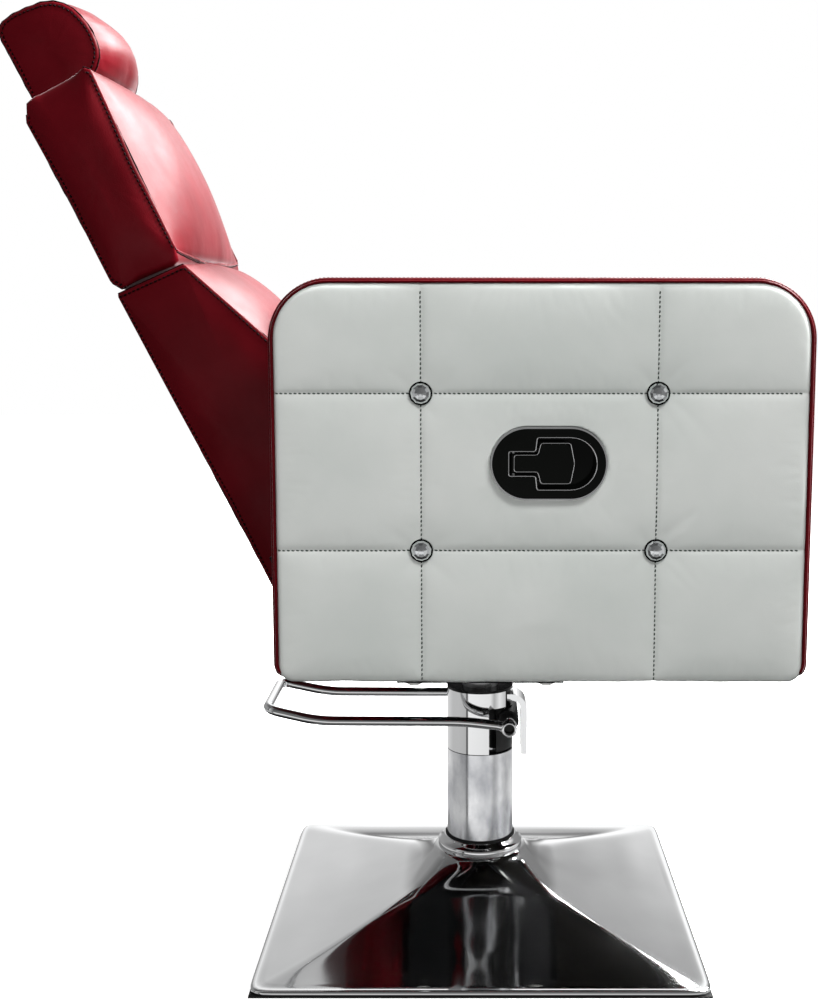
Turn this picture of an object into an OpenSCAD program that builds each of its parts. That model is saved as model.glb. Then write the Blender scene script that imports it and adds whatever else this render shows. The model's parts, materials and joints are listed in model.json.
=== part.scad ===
// Hydraulic barber chair: square base, pump column with a U-shaped pedal, quilted arm boxes,
// reclining two-pad back and a sliding headrest.
// +X is the chair's front, +Y its left side, +Z up; the origin is on the floor under the column.

/* [Base] */
// Side of the square base
base_w = 520; // [480:5:560]
// Height of the rim round the base
rim_h = 8; // [6:1:12]
// Height at which the base shell meets the collar
shell_top = 80; // [76:1:84]
// Sheet thickness of the base shell
shell_t = 2; // [1.5:0.5:3]

/* [Column] */
// Outer diameter of the fixed tube and of the pump head's cover
tube_d = 84; // [82:1:86]
// Height of the top of the fixed tube
tube_top = 209; // [204:1:212]
// Diameter of the lifting ram
ram_d = 60; // [58:1:60]
// Radial clearance of the running fits
fit = 0.05; // [0.02:0.01:0.09]

/* [Pedal] */
// Half distance between the two pedal rods
pedal_half = 68; // [64:1:72]
// Diameter of the pedal rod
rod_d = 12; // [10:1:14]
// How far the crossbar lies behind the column
pedal_back = 262; // [240:2:270]

/* [Seat] */
// Half width between the inner faces of the arms
seat_half = 230; // [226:1:240]
// Height of the top of the seat cushion's sides
seat_h = 512; // [500:1:520]
// Front of the seat cushion
seat_front = 322; // [300:2:326]

/* [Arms] */
// Thickness of an arm box
arm_w = 100; // [90:2:110]
// Length of an arm box
arm_len = 550; // [530:5:560]
// Height of an arm box
arm_h = 413; // [400:1:420]
// Radius of the upper corners
arm_rt = 62; // [50:1:70]
// Radius of the lower corners
arm_rb = 20; // [15:1:26]
// Height of the quilting's crown over its seams
quilt_crown = 9; // [4:1:11]

/* [Back] */
// Angle of the back from the vertical at rest
back_tilt = 27; // [24:1:30]
// Half width of the back at its side seams
back_half = 200; // [190:2:202]
// Crown of the back pads
back_crown = 22; // [10:1:26]

/* [Headrest] */
// Half width of the headrest at its side seams
head_half = 93; // [85:1:105]

/* [Hidden] */
$fn = 48;

eps = 0.01;
hb = base_w / 2;
tube_r = tube_d / 2;
tube_ri = tube_r - 3;
ram_r = ram_d / 2;
ram_ri = ram_r - 5;
ram_top = 250;
shaft_r = ram_ri - 2;
flange_h = 12;
strip_h = 2;
collar_r = 56.5;
collar_ri = tube_r + 2.5;
cover_top = 288;
plate_z = 318;
plate_t = 10;
rail_z0 = 360;
rail_z1 = 404;
rail_y0 = 216;
// pedal pivot
pv_x = 35.6;
pv_z = 252;
axle_r = 5.5;
hub_y0 = 38;
hub_y1 = 74;
// recline pivot
rp_x = -154;
rp_z = 445;
bottom_r = 72;
// bolts that hold the back's board to its hinge plates
hinge_u = [30, 62];
hinge_n = -36;
box_n0 = -67;
box_n1 = -25;
upper_n0 = -62;
lower_top = 398;
upper_bot = 411;
upper_top = 620;
// slotted recline lever and strut
lever_drop = 100;
lever_rest = -10;
strut_y = 195;
strut_z = rp_z - lever_drop;
pin_x = rp_x + lever_drop * tan(lever_rest);
// headrest
post_y = 55;
post_n = -43;
head_bot = 634;
head_top = 744;
// arm outline
arm_x0 = -214;
arm_z0 = 379;
arm_y0 = seat_half;
arm_y1 = seat_half + arm_w;
wrap_t = 5;
wrap_y1 = arm_y1 - 4;
panel_back = arm_y1 - 14;
panel_seam = arm_y1 - 5;
seams_x = [-61, 178];
seams_z = [517, 677];
// recliner handle
hd_x = 68;
hd_z = 607;
hd_len = 118;
hd_w = 74;

// ---------- helpers ----------

// A straight round rod from p to q
module rod(p, q, r) {
  d = q - p;
  len = norm(d);
  translate(p) rotate([0, acos(d[2] / len), atan2(d[1], d[0])]) cylinder(r = r, h = len);
}

// A cylinder along Y from y0 to y1 at (x, z)
module bar_y(x, z, y0, y1, r) {
  translate([x, y0, z]) rotate([-90, 0, 0]) cylinder(r = r, h = y1 - y0);
}

// An XZ outline extruded from y0 to y1
module plate_y(y0, y1) {
  translate([0, y1, 0]) rotate([90, 0, 0]) linear_extrude(y1 - y0) children();
}

// A box from corner a to corner b
module block(a, b) {
  translate(a) cube(b - a);
}

module both_sides() {
  children();
  mirror([0, 1, 0]) children();
}

// The back's own frame: X is up along the back, Y is its width, Z its front normal,
// with the origin at the recline pivot
module on_back() {
  translate([rp_x, 0, rp_z]) rotate([0, -90 - back_tilt, 0]) mirror([0, 0, 1]) children();
}

// Centre of the circle through a and b whose arc sags s to the left of the line from a to b
function arc_radius(a, b, s) = (pow(norm(b - a) / 2, 2) + s * s) / (2 * s);
function arc_centre(a, b, s) =
  let(d = (b - a) / norm(b - a), r = arc_radius(a, b, s))
  (a + b) / 2 + [d[1], -d[0]] * (r - s);

// Points of an arc about c
function arc(c, r, a0, a1, n) = [for (i = [0:n]) let(a = a0 + (a1 - a0) * i / n) c + r * [cos(a), sin(a)]];

// Points from a towards b with crown vectors to the right of the way there, b left out
function face(a, b, n, crown) =
  let(d = (b - a) / norm(b - a), right = [d[1], -d[0]])
  [for (i = [0:n - 1]) let(t = i / n) [a + (b - a) * t, right * crown * pow(4 * t * (1 - t), 0.6)]];

// 1 for an outline that runs counterclockwise, -1 for a clockwise one
function turning(p) =
  sign([for (i = [0:len(p) - 1]) cross(p[i], p[(i + 1) % len(p)])] * [for (q = p) 1]);

function bare(points) = [for (p = points) [p, [0, 0]]];

// ---------- soft pads ----------

// Sections of a pad across its width: [y, scale, crown share]
function pad_sections(half, n, swell) = concat(
  [[-half - swell, 0.55, 0], [-half - swell * 0.75, 0.86, 0]],
  [for (i = [0:n]) let(s = -cos(180 * i / n)) [half * s, 1, 1 - pow(abs(s), 2.4)]],
  [[half + swell * 0.75, 0.86, 0], [half + swell, 0.55, 0]]);

// A closed pad whose side outline is lofted across Y, with a crown on its faces and swelling sides
module loft_pad(outline, half, n, swell) {
  np = len(outline);
  sec = pad_sections(half, n, swell);
  ns = len(sec);
  flat = [for (p = outline) p[0]];
  out = turning(flat);
  mid = [for (k = [0:1]) (max([for (p = flat) p[k]]) + min([for (p = flat) p[k]])) / 2];
  ring = [for (s = sec, p = outline)
    let(q = mid + (p[0] + out * p[1] * s[2] - mid) * s[1]) [q[0], s[0], q[1]]];
  ends = [[mid[0], sec[0][0], mid[1]], [mid[0], sec[ns - 1][0], mid[1]]];
  polyhedron(
    points = concat(ring, ends),
    faces = concat(
      [for (k = [0:ns - 2], i = [0:np - 1]) let(j = (i + 1) % np) [k * np + i, (k + 1) * np + j, k * np + j]],
      [for (k = [0:ns - 2], i = [0:np - 1]) let(j = (i + 1) % np)
        [k * np + i, (k + 1) * np + i, (k + 1) * np + j]],
      [for (i = [0:np - 1]) [i, (i + 1) % np, ns * np]],
      [for (i = [0:np - 1]) [(ns - 1) * np + (i + 1) % np, (ns - 1) * np + i, ns * np + 1]]));
}

// ---------- quilted arm panel ----------

panel_x = [arm_x0 + wrap_t, seams_x[0], seams_x[1], arm_x0 + arm_len - wrap_t];
panel_z = [arm_z0 + wrap_t, seams_z[0], seams_z[1], arm_z0 + arm_h - wrap_t];

// Lines of the quilting's grid, closer together near the seams
function quilt_lines(e, n) = concat(
  [for (c = [0:2], i = [0:n - 1]) e[c] + (e[c + 1] - e[c]) * (1 - cos(180 * i / n)) / 2], [e[3]]);
function share(v, e) =
  let(c = v < e[1] ? 0 : v < e[2] ? 1 : 2) min(1, max(0, (v - e[c]) / (e[c + 1] - e[c])));
function pillow(v, e) = let(t = share(v, e)) pow(max(0, 4 * t * (1 - t)), 0.42);
function tuft(x, z) = max([for (a = seams_x, b = seams_z) exp(-(pow(x - a, 2) + pow(z - b, 2)) / 500)]);
function quilt_height(x, z) =
  let(edge = min(1, min(x - panel_x[0], panel_x[3] - x, z - panel_z[0], panel_z[3] - z) / 8))
  quilt_crown * pillow(x, panel_x) * pillow(z, panel_z) * (1 - tuft(x, z)) - 3 * tuft(x, z)
    - 3 * (1 - sqrt(max(0, edge * (2 - edge))));

// Draws a grid point into the rounded corners of the panel
function corner_shift(dx, dz) =
  dx <= 0 || dz <= 0 ? 1 : max(dx, dz) / norm([dx, dz]);
function rounded(x, z) =
  let(r = (z > (panel_z[0] + panel_z[3]) / 2 ? arm_rt : arm_rb) - wrap_t,
      cx = x < 0 ? panel_x[0] + r : panel_x[3] - r, cz = z < 560 ? panel_z[0] + r : panel_z[3] - r,
      dx = x < 0 ? cx - x : x - cx, dz = z < 560 ? cz - z : z - cz, k = corner_shift(dx, dz))
  k == 1 ? [x, z] : [cx + (x - cx) * k, cz + (z - cz) * k];

module quilt() {
  xs = quilt_lines(panel_x, 8);
  zs = quilt_lines(panel_z, 7);
  nx = len(xs);
  nz = len(zs);
  front = [for (z = zs, x = xs) let(p = rounded(x, z)) [p[0], -panel_seam - quilt_height(x, z), p[1]]];
  edge = concat(
    [for (i = [0:nx - 2]) i], [for (k = [0:nz - 2]) k * nx + nx - 1],
    [for (i = [nx - 1:-1:1]) (nz - 1) * nx + i], [for (k = [nz - 1:-1:1]) k * nx]);
  ne = len(edge);
  nf = nx * nz;
  rear = [for (e = edge) [front[e][0], -panel_back, front[e][2]]];
  polyhedron(
    points = concat(front, rear, [[(panel_x[0] + panel_x[3]) / 2, -panel_back, 580]]),
    faces = concat(
      [for (k = [0:nz - 2], i = [0:nx - 2]) let(a = k * nx + i) [a, a + nx, a + nx + 1]],
      [for (k = [0:nz - 2], i = [0:nx - 2]) let(a = k * nx + i) [a, a + nx + 1, a + 1]],
      [for (i = [0:ne - 1]) let(j = (i + 1) % ne) [edge[i], edge[j], nf + j]],
      [for (i = [0:ne - 1]) let(j = (i + 1) % ne) [edge[i], nf + j, nf + i]],
      [for (i = [0:ne - 1]) let(j = (i + 1) % ne) [nf + i, nf + j, nf + ne]]));
}

// ---------- base ----------

flare_a = [hb - 6, rim_h];
flare_j = [96, 48];
flare_b = [collar_r, shell_top];

// Half outline of the base in its width and height, with two concave arcs
module flare() {
  difference() {
    polygon([[-1, 0], [hb, 0], [hb, rim_h], flare_a, flare_j, flare_b, [-1, shell_top]]);
    intersection() {
      translate(arc_centre(flare_a, flare_j, 4)) circle(arc_radius(flare_a, flare_j, 4), $fn = 96);
      translate([flare_j[0], 0]) square([hb, shell_top]);
    }
    intersection() {
      translate(arc_centre(flare_j, flare_b, 4.3)) circle(arc_radius(flare_j, flare_b, 4.3), $fn = 96);
      square([flare_j[0], shell_top * 2]);
    }
  }
}

module pyramid() {
  intersection() {
    rotate([90, 0, 0]) linear_extrude(base_w + 2, center = true) {
      flare();
      mirror([1, 0]) flare();
    }
    rotate([90, 0, 90]) linear_extrude(base_w + 2, center = true) {
      flare();
      mirror([1, 0]) flare();
    }
    rotate_extrude($fn = 96)
      polygon([[0, 0], [base_w, 0], [base_w, 30], [118, 60], [collar_r, shell_top], [0, shell_top]]);
  }
}

module base_shell() {
  color("gainsboro") difference() {
    pyramid();
    translate([0, 0, -shell_t]) scale((hb - shell_t) / hb) pyramid();
    translate([0, 0, -1]) cylinder(r = collar_ri, h = shell_top * 2);
    translate([-hb - 1, -hb - 1, -1]) cube([base_w + 2, base_w + 2, 1 + strip_h]);
  }
}

module base_edge_strip() {
  color("black") for (s = [-1, 1]) {
    translate([0, s * (hb - 5), strip_h / 2]) cube([base_w - 1, 9, strip_h], center = true);
    translate([s * (hb - 5), 0, strip_h / 2]) cube([9, base_w - 20, strip_h], center = true);
  }
}

module four_corners(d) {
  for (x = [-d, d], y = [-d, d]) translate([x, y, 0]) children();
}

module ballast_plate() {
  color("dimgray") difference() {
    translate([-190, -190, 0]) cube([380, 380, flange_h]);
    four_corners(55) translate([0, 0, 2]) cylinder(r = 5, h = flange_h);
  }
}

module tube_flange() {
  color("dimgray") difference() {
    translate([-75, -75, flange_h]) cube([150, 150, 10]);
    four_corners(55) cylinder(r = 5.5, h = 40);
  }
}

module flange_bolts() {
  color("silver") four_corners(55) {
    translate([0, 0, 3]) cylinder(r = 4.8, h = 20);
    translate([0, 0, flange_h + 10]) cylinder(r = 9, h = 7, $fn = 6);
  }
}

module outer_tube() {
  color("silver") difference() {
    translate([0, 0, flange_h + 10]) cylinder(r = tube_r, h = tube_top - flange_h - 10);
    translate([0, 0, flange_h + 12]) cylinder(r = tube_ri, h = tube_top);
  }
}

module ring(r0, r1, z0, z1) {
  difference() {
    translate([0, 0, z0]) cylinder(r = r1, h = z1 - z0);
    translate([0, 0, z0 - 1]) cylinder(r = r0, h = z1 - z0 + 2);
  }
}

module collar_ring() {
  color("gainsboro") rotate_extrude()
    polygon([[collar_ri, shell_top], [collar_r, shell_top], [collar_r, shell_top + 6], [46, 95.5],
      [collar_ri, 95.5]]);
}

module collar_seal() {
  color("black") ring(tube_r, collar_ri, shell_top + 2, 97);
}

module guide_bush() {
  color("tan") ring(ram_r + fit, tube_ri, 168, 198);
}

module wiper_seal() {
  color("black") ring(ram_r + fit, tube_ri, 198, tube_top);
}

// ---------- ram ----------

module ram_tube() {
  color("gainsboro") ring(ram_ri, ram_r, 39, ram_top);
}

module ram_piston() {
  color("dimgray") translate([0, 0, 25]) cylinder(r = tube_ri - fit, h = 14);
}

module swivel_bush() {
  color("tan") ring(shaft_r + fit, ram_ri, 205, ram_top);
}

module thrust_washer() {
  color("goldenrod") ring(shaft_r + fit, ram_r - 1, ram_top, ram_top + 4);
}

// ---------- pump head ----------

module head_shaft() {
  color("silver") union() {
    translate([0, 0, 202]) cylinder(r = shaft_r, h = plate_z - 202);
    translate([0, 0, plate_z - 1]) cylinder(r = 18, h = plate_t + 1);
  }
}

module head_casting() {
  color("dimgray") difference() {
    ring(shaft_r, tube_ri, ram_top + 4, cover_top);
    block([20, -45, ram_top], [50, 45, 266]);
  }
}

module head_cover() {
  color("gainsboro") difference() {
    ring(tube_ri, tube_r, tube_top + 1, cover_top);
    block([11, -45, tube_top], [50, 45, 268]);
    block([32, -28, 260], [50, 28, cover_top + 1]);
  }
}

module head_cap() {
  color("black") ring(shaft_r, tube_r, cover_top, cover_top + 3);
}

module pump_block() {
  color("black") difference() {
    union() {
      intersection() {
        ring(ram_r + 1, tube_r - 0.5, tube_top + 3, 266);
        block([20, -45, 0], [50, 45, 300]);
      }
      difference() {
        bar_y(pv_x, pv_z, -34, 34, 13);
        translate([0, 0, tube_top]) cylinder(r = ram_r + 2, h = 100);
      }
    }
    bar_y(pv_x, pv_z, -50, 50, axle_r);
    translate([36.2, 0, tube_top]) cylinder(r = 4 + fit, h = 35);
  }
}

module pedal_axle() {
  color("silver") bar_y(pv_x, pv_z, -hub_y1 + 8, hub_y1 - 8, axle_r);
}

// Inverted J of pressed sheet in front of the pedal's pivot
module pedal_guard() {
  color("gainsboro") difference() {
    plate_y(-20, 20) polygon(concat(
      [[51.5, 204], [59.5, 204]], arc([39.5, 262], 20, 0, 90, 12), [[34, 282], [34, 274]],
      arc([39.5, 262], 12, 90, 0, 12)));
    translate([0, 0, 190]) cylinder(r = tube_ri, h = 100);
    block([45, -17, 190], [57.5, 17, 260]);
  }
}

module pump_plunger() {
  color("silver") translate([36.2, 0, tube_top + 5]) cylinder(r = 4, h = 28);
}

module pedal_side() {
  p1 = [22, pedal_half, 256];
  p2 = [-20, pedal_half, 261];
  p3 = [-200, pedal_half, 262];
  p4 = [-pedal_back, pedal_half - 2, 276];
  rod([pv_x - 7, pedal_half, pv_z + 2], p1, rod_d / 2);
  rod(p1, p2, rod_d / 2);
  rod(p2, p3, rod_d / 2);
  rod(p3, p4, rod_d / 2);
  for (p = [p1, p2, p3, p4]) translate(p) sphere(r = rod_d / 2 + 0.2);
}

module pedal_bar() {
  color("silver") difference() {
    union() {
      both_sides() {
        pedal_side();
        bar_y(pv_x, pv_z, hub_y0, hub_y1, 9.5);
      }
      bar_y(-pedal_back, 276, -pedal_half + 2, pedal_half - 2, rod_d / 2);
    }
    bar_y(pv_x, pv_z, -100, 100, axle_r + fit);
  }
}

// ---------- seat ----------

module mounting_plate() {
  color("dimgray") difference() {
    translate([-100, -100, plate_z]) cube([200, 200, plate_t]);
    translate([0, 0, plate_z - 1]) cylinder(r = 18, h = plate_t + 2);
    four_corners(80) translate([0, 0, plate_z - 1]) cylinder(r = 5.25, h = plate_t + 2);
  }
}

module mounting_bolts() {
  color("silver") four_corners(80) {
    translate([0, 0, plate_z - 6]) cylinder(r = 9, h = 6, $fn = 6);
    translate([0, 0, plate_z - 1]) cylinder(r = 5, h = 30);
  }
}

module seat_frame() {
  color("dimgray") difference() {
    union() {
      for (y = [-95, 65]) block([-110, y, plate_z + plate_t], [110, y + 30, rail_z0 + 1]);
      for (x = [-58, 80, 270]) block([x, -rail_y0 - 1, rail_z0], [x + 30, rail_y0 + 1, rail_z1]);
      both_sides() block([-190, rail_y0, rail_z0], [300, seat_half, rail_z1]);
    }
    for (x = [-58, 80, 270])
      block([x + 3, -seat_half - 1, rail_z0 + 3], [x + 27, seat_half + 1, rail_z1 - 3]);
    four_corners(80) cylinder(r = 5.25, h = rail_z0 - 5);
    both_sides() for (x = [-20, 130, 250]) bar_y(x, 394, 200, 240, 4.2);
  }
}

module seat_board() {
  color("burlywood") block([-66, -222, rail_z1], [seat_front - 8, 222, rail_z1 + 12]);
}

module seat_cushion() {
  z0 = rail_z1 + 12;
  outline = concat(
    face([-70, z0], [seat_front - 16, z0], 4, 0),
    bare(arc([seat_front - 16, z0 + 16], 16, -90, 0, 4)),
    face([seat_front, z0 + 22], [seat_front, seat_h - 42], 3, 3),
    bare(arc([seat_front - 38, seat_h - 38], 38, 0, 90, 8)),
    face([seat_front - 44, seat_h], [-58, seat_h], 12, 14),
    bare(arc([-58, seat_h - 12], 12, 90, 180, 3)),
    face([-70, seat_h - 18], [-70, z0 + 4], 3, 0));
  color("firebrick") loft_pad(outline, seat_half - 8, 16, 5);
}

// ---------- arms ----------

// Rounded arm outline, drawn in by d
module arm_outline(d) {
  x0 = arm_x0 + d;
  x1 = arm_x0 + arm_len - d;
  z0 = arm_z0 + d;
  z1 = arm_z0 + arm_h - d;
  rt = arm_rt - d;
  rb = max(arm_rb - d, 2);
  translate([x0, z0 + rb]) square([x1 - x0, z1 - z0 - rb - rt]);
  translate([x0 + rt, z1 - rt - 1]) square([x1 - x0 - 2 * rt, rt + 1]);
  translate([x0 + rb, z0]) square([x1 - x0 - 2 * rb, rb + 1]);
  for (x = [x0 + rt, x1 - rt]) translate([x, z1 - rt]) circle(rt, $fn = 64);
  for (x = [x0 + rb, x1 - rb]) translate([x, z0 + rb]) circle(rb);
}

// Right arm at negative Y
module arm_core(pocket) {
  difference() {
    plate_y(-panel_back, -arm_y0 - 2) arm_outline(wrap_t);
    if (pocket) plate_y(-panel_back - 1, -arm_y1 + 24) handle_outline(1.7);
    for (x = [-20, 130, 250]) bar_y(x, 394, -arm_y0 - 30, -arm_y0, 4.2);
  }
}

module arm_wrap() {
  difference() {
    plate_y(-wrap_y1, -arm_y0) arm_outline(0);
    plate_y(-arm_y1 - 1, -arm_y0 - 2) arm_outline(wrap_t);
    for (x = [-20, 130, 250]) bar_y(x, 394, -arm_y0 - 5, -arm_y0 + 1, 4.2);
  }
}

module handle_outline(d) {
  r = hd_w / 2 - d;
  for (s = [-1, 1]) translate([hd_x + s * (hd_len - hd_w) / 2, hd_z]) circle(r);
  translate([hd_x - (hd_len - hd_w) / 2, hd_z - r]) square([hd_len - hd_w, 2 * r]);
}

module arm_panel_right() {
  color("whitesmoke") difference() {
    quilt();
    plate_y(-arm_y1 - 20, -panel_back + 5) handle_outline(-0.3);
  }
}

module arm_panel_left() {
  color("whitesmoke") mirror([0, 1, 0]) quilt();
}

module tuft_buttons() {
  for (x = seams_x, z = seams_z) {
    bar_y(x, z, -panel_seam - 1, -panel_seam + 3.2, 11);
    intersection() {
      translate([x, -panel_seam + 16.6, z]) sphere(r = 21);
      bar_y(x, z, -panel_seam - 8, -panel_seam, 11);
    }
  }
}

module arm_bolts() {
  color("silver") both_sides() for (x = [-20, 130, 250]) {
    bar_y(x, 394, rail_y0 - 6, rail_y0, 7);
    bar_y(x, 394, rail_y0 - 1, arm_y0 + 16, 4);
  }
}

// ---------- recliner handle ----------

module handle_bezel() {
  color("silver") plate_y(-arm_y1 - 7, -arm_y1 + 6) difference() {
    handle_outline(0);
    handle_outline(1.7);
  }
}

module handle_recess() {
  translate([27.5, 594.5]) square([32, 25]);
  translate([54.5, 580.5]) square([36, 53]);
  translate([90, hd_z]) circle(26.5);
}

module handle_housing() {
  color("black") difference() {
    plate_y(-arm_y1 - 6, -arm_y1 + 24) handle_outline(1.7);
    plate_y(-arm_y1 - 10, -arm_y1 + 14) handle_recess();
    translate([32, -arm_y1 + 2, 588]) cylinder(r = 2, h = 38);
  }
}

module handle_pin() {
  color("silver") translate([32, -arm_y1 + 2, 588]) cylinder(r = 2, h = 38);
}

module handle_paddle() {
  color("black") difference() {
    union() {
      translate([32, -arm_y1 + 2, 597]) cylinder(r = 4, h = 20);
      block([32, -arm_y1 - 2, 598.5], [59, -arm_y1 + 4, 615.5]);
      block([58.5, -arm_y1 - 2, 585.5], [84, -arm_y1 + 4, 628.5]);
      intersection() {
        bar_y(66, hd_z, -arm_y1 - 2, -arm_y1 + 4, 28);
        block([80, -arm_y1 - 3, 585.5], [96, -arm_y1 + 5, 628.5]);
      }
    }
    translate([32, -arm_y1 + 2, 590]) cylinder(r = 2 + fit, h = 36);
  }
}

// ---------- recline hinge and strut ----------

module hinge_brackets() {
  color("dimgray") both_sides() difference() {
    plate_y(rail_y0, rail_y0 + 6) {
      translate([rp_x - 22, rail_z1]) square([44, rp_z - rail_z1]);
      translate([rp_x, rp_z]) circle(22);
    }
    bar_y(rp_x, rp_z, rail_y0 - 5, rail_y0 + 10, 8);
  }
}

module hinge_pins() {
  color("silver") both_sides() {
    bar_y(rp_x, rp_z, rail_y0 - 10, rail_y0 + 7, 8);
    bar_y(rp_x, rp_z, rail_y0 + 6, rail_y0 + 11, 12);
  }
}

module strut_cylinder() {
  color("black") difference() {
    translate([-50, strut_y, strut_z]) rotate([0, 90, 0]) cylinder(r = 11, h = 145);
    translate([-44, strut_y, strut_z]) rotate([0, 90, 0]) cylinder(r = 8.5, h = 134);
    translate([-60, strut_y, strut_z]) rotate([0, 90, 0]) cylinder(r = 5 + fit, h = 30);
  }
}

module strut_bracket() {
  color("dimgray") block([95, strut_y - 11, strut_z - 11], [107, strut_y + 11, rail_z0]);
}

module strut_rod() {
  color("silver") union() {
    translate([pin_x, strut_y, strut_z]) rotate([0, 90, 0]) cylinder(r = 5, h = 182);
    block([pin_x - 8, strut_y - 9, strut_z - 8], [pin_x + 8, strut_y + 9, strut_z + 8]);
    bar_y(pin_x, strut_z, strut_y + 8, strut_y + 19.5, 5);
  }
}

// Right-hand plate without the lever, left-hand plate with it
module hinge_plate(lever) {
  y0 = rail_y0 - 8;
  y1 = rail_y0 - 3;
  difference() {
    union() {
      bar_y(rp_x, rp_z, y0, y1, 20);
      on_back() {
        block([0, y0, hinge_n - 14], [hinge_u[1] + 14, y1, hinge_n + 14]);
        block([-14, y0, -46], [12, y1, -4]);
        for (u = hinge_u) translate([u, back_half, hinge_n]) rotate([-90, 0, 0]) cylinder(r = 10, h = 9);
      }
      if (lever) translate([rp_x, 0, rp_z]) rotate([0, -lever_rest, 0]) {
        block([-14.8, y0 + 0.5, -108], [14.8, y1 - 0.5, -3]);
        bar_y(0, -108, y0 + 0.5, y1 - 0.5, 15);
      }
    }
    bar_y(rp_x, rp_z, y0 - 1, y1 + 1, 8 + fit);
    on_back() for (u = hinge_u) translate([u, 150, hinge_n]) rotate([-90, 0, 0]) cylinder(r = 4.2, h = 70);
    if (lever) translate([rp_x, 0, rp_z]) rotate([0, -lever_rest, 0]) {
      block([-6.9, y0 - 1, -112.5], [6.9, y1 + 1, -98]);
      for (z = [-112.5, -98]) bar_y(0, z, y0 - 1, y1 + 1, 7);
    }
  }
}

module hinge_bolts() {
  color("silver") both_sides() on_back() for (u = hinge_u) {
    translate([u, rail_y0 - 3, hinge_n]) rotate([-90, 0, 0]) cylinder(r = 6.5, h = 2.5);
    translate([u, 186, hinge_n]) rotate([-90, 0, 0]) cylinder(r = 4, h = rail_y0 - 188);
  }
}

// ---------- back ----------

// Side outlines of the back are drawn in its own frame, up along the back and out to its front
module back_extrude(half) {
  on_back() translate([0, half, 0]) rotate([90, 0, 0]) linear_extrude(2 * half) children();
}

module back_lower_box() {
  color("darkred") difference() {
    back_extrude(back_half) intersection() {
      union() {
        translate([0, box_n0]) square([lower_top, box_n1 - box_n0]);
        circle(bottom_r, $fn = 96);
      }
      translate([-100, box_n0]) square([600, box_n1 - box_n0]);
    }
    on_back() {
      for (y = [-140, 100]) block([250, y, -52], [500, y + 40, -46]);
      for (u = hinge_u, y = [-230, 180])
        translate([u, y, hinge_n]) rotate([-90, 0, 0]) cylinder(r = 4.2, h = 50);
    }
  }
}

module back_upper_box() {
  color("darkred") difference() {
    on_back() block([upper_bot, -back_half, upper_n0], [upper_top, back_half, box_n1]);
    on_back() {
      for (y = [-140, 100]) block([400, y, -52], [570, y + 40, -46]);
      for (y = [-post_y, post_y]) translate([450, y, post_n]) rotate([0, 90, 0]) cylinder(r = 9, h = 200);
    }
  }
}

module back_bars() {
  color("dimgray") on_back() for (y = [-140, 100]) block([250, y, -52], [570, y + 40, -46]);
}

module back_lower_pad() {
  n1 = bottom_r;
  outline = concat(
    bare([for (a = [-110:20:-10]) bottom_r * [sin(a), cos(a)]]),
    face([0, n1], [270, n1 - 4], 8, 6),
    face([270, n1 - 4], [lower_top, 14], 8, back_crown - 2),
    face([lower_top, 14], [lower_top, box_n1 + 0.3], 5, 4),
    face([lower_top, box_n1 + 0.3], [-67, box_n1 + 0.3], 3, 0));
  color("firebrick") on_back() loft_pad(outline, back_half, 14, 4);
}

module back_upper_pad() {
  outline = concat(
    face([upper_bot, box_n1 + 0.3], [upper_bot + 10, 14], 4, 3),
    face([upper_bot + 10, 14], [upper_top - 4, 20], 14, back_crown),
    face([upper_top - 4, 20], [upper_top, box_n1 + 0.3], 5, 3),
    face([upper_top, box_n1 + 0.3], [upper_bot, box_n1 + 0.3], 3, 0));
  color("firebrick") on_back() loft_pad(outline, back_half, 14, 4);
}

module headrest_sockets() {
  color("black") on_back() for (y = [-post_y, post_y]) translate([450, y, post_n]) rotate([0, 90, 0])
    difference() {
      union() {
        cylinder(r = 9, h = upper_top + 3 - 450);
        translate([0, 0, upper_top - 450]) cylinder(r = 12, h = 3);
      }
      translate([0, 0, -1]) cylinder(r = 6 + fit, h = 300);
    }
}

module headrest_posts() {
  color("gainsboro") on_back() for (y = [-post_y, post_y])
    translate([455, y, post_n]) rotate([0, 90, 0]) cylinder(r = 6, h = 245);
}

module headrest_box() {
  color("darkred") difference() {
    on_back() block([head_bot, -head_half, box_n0], [head_top - 8, head_half, -30]);
    on_back() for (y = [-post_y, post_y])
      translate([head_bot - 5, y, post_n]) rotate([0, 90, 0]) cylinder(r = 6, h = 71);
  }
}

module headrest_pad() {
  outline = concat(
    face([head_bot, -29.7], [head_bot, 4], 2, 2),
    bare(arc([head_bot + 22, 2], 22, 180, 90, 5)),
    face([head_bot + 28, 24], [head_top - 36, 24], 6, 5),
    bare(arc([head_top - 28, -4], 28, 90, 0, 6)),
    face([head_top, -6], [head_top - 2, -29.7], 2, 2),
    face([head_top - 2, -29.7], [head_bot, -29.7], 3, 0));
  color("firebrick") on_back() loft_pad(outline, head_half, 12, 5);
}

base_shell();
base_edge_strip();
ballast_plate();
tube_flange();
flange_bolts();
outer_tube();
collar_ring();
collar_seal();
guide_bush();
wiper_seal();
ram_tube();
ram_piston();
swivel_bush();
thrust_washer();
head_shaft();
head_casting();
head_cover();
head_cap();
pump_block();
pedal_axle();
pedal_guard();
pedal_bar();
pump_plunger();
mounting_plate();
mounting_bolts();
seat_frame();
seat_board();
seat_cushion();
color("burlywood") arm_core(true);  // arm_core_right
color("burlywood") mirror([0, 1, 0]) arm_core(false);  // arm_core_left
color("firebrick") arm_wrap();  // arm_wrap_right
color("firebrick") mirror([0, 1, 0]) arm_wrap();  // arm_wrap_left
arm_panel_right();
arm_panel_left();
color("silver") tuft_buttons();  // tuft_buttons_right
color("silver") mirror([0, 1, 0]) tuft_buttons();  // tuft_buttons_left
arm_bolts();
handle_bezel();
handle_housing();
handle_pin();
handle_paddle();
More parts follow.
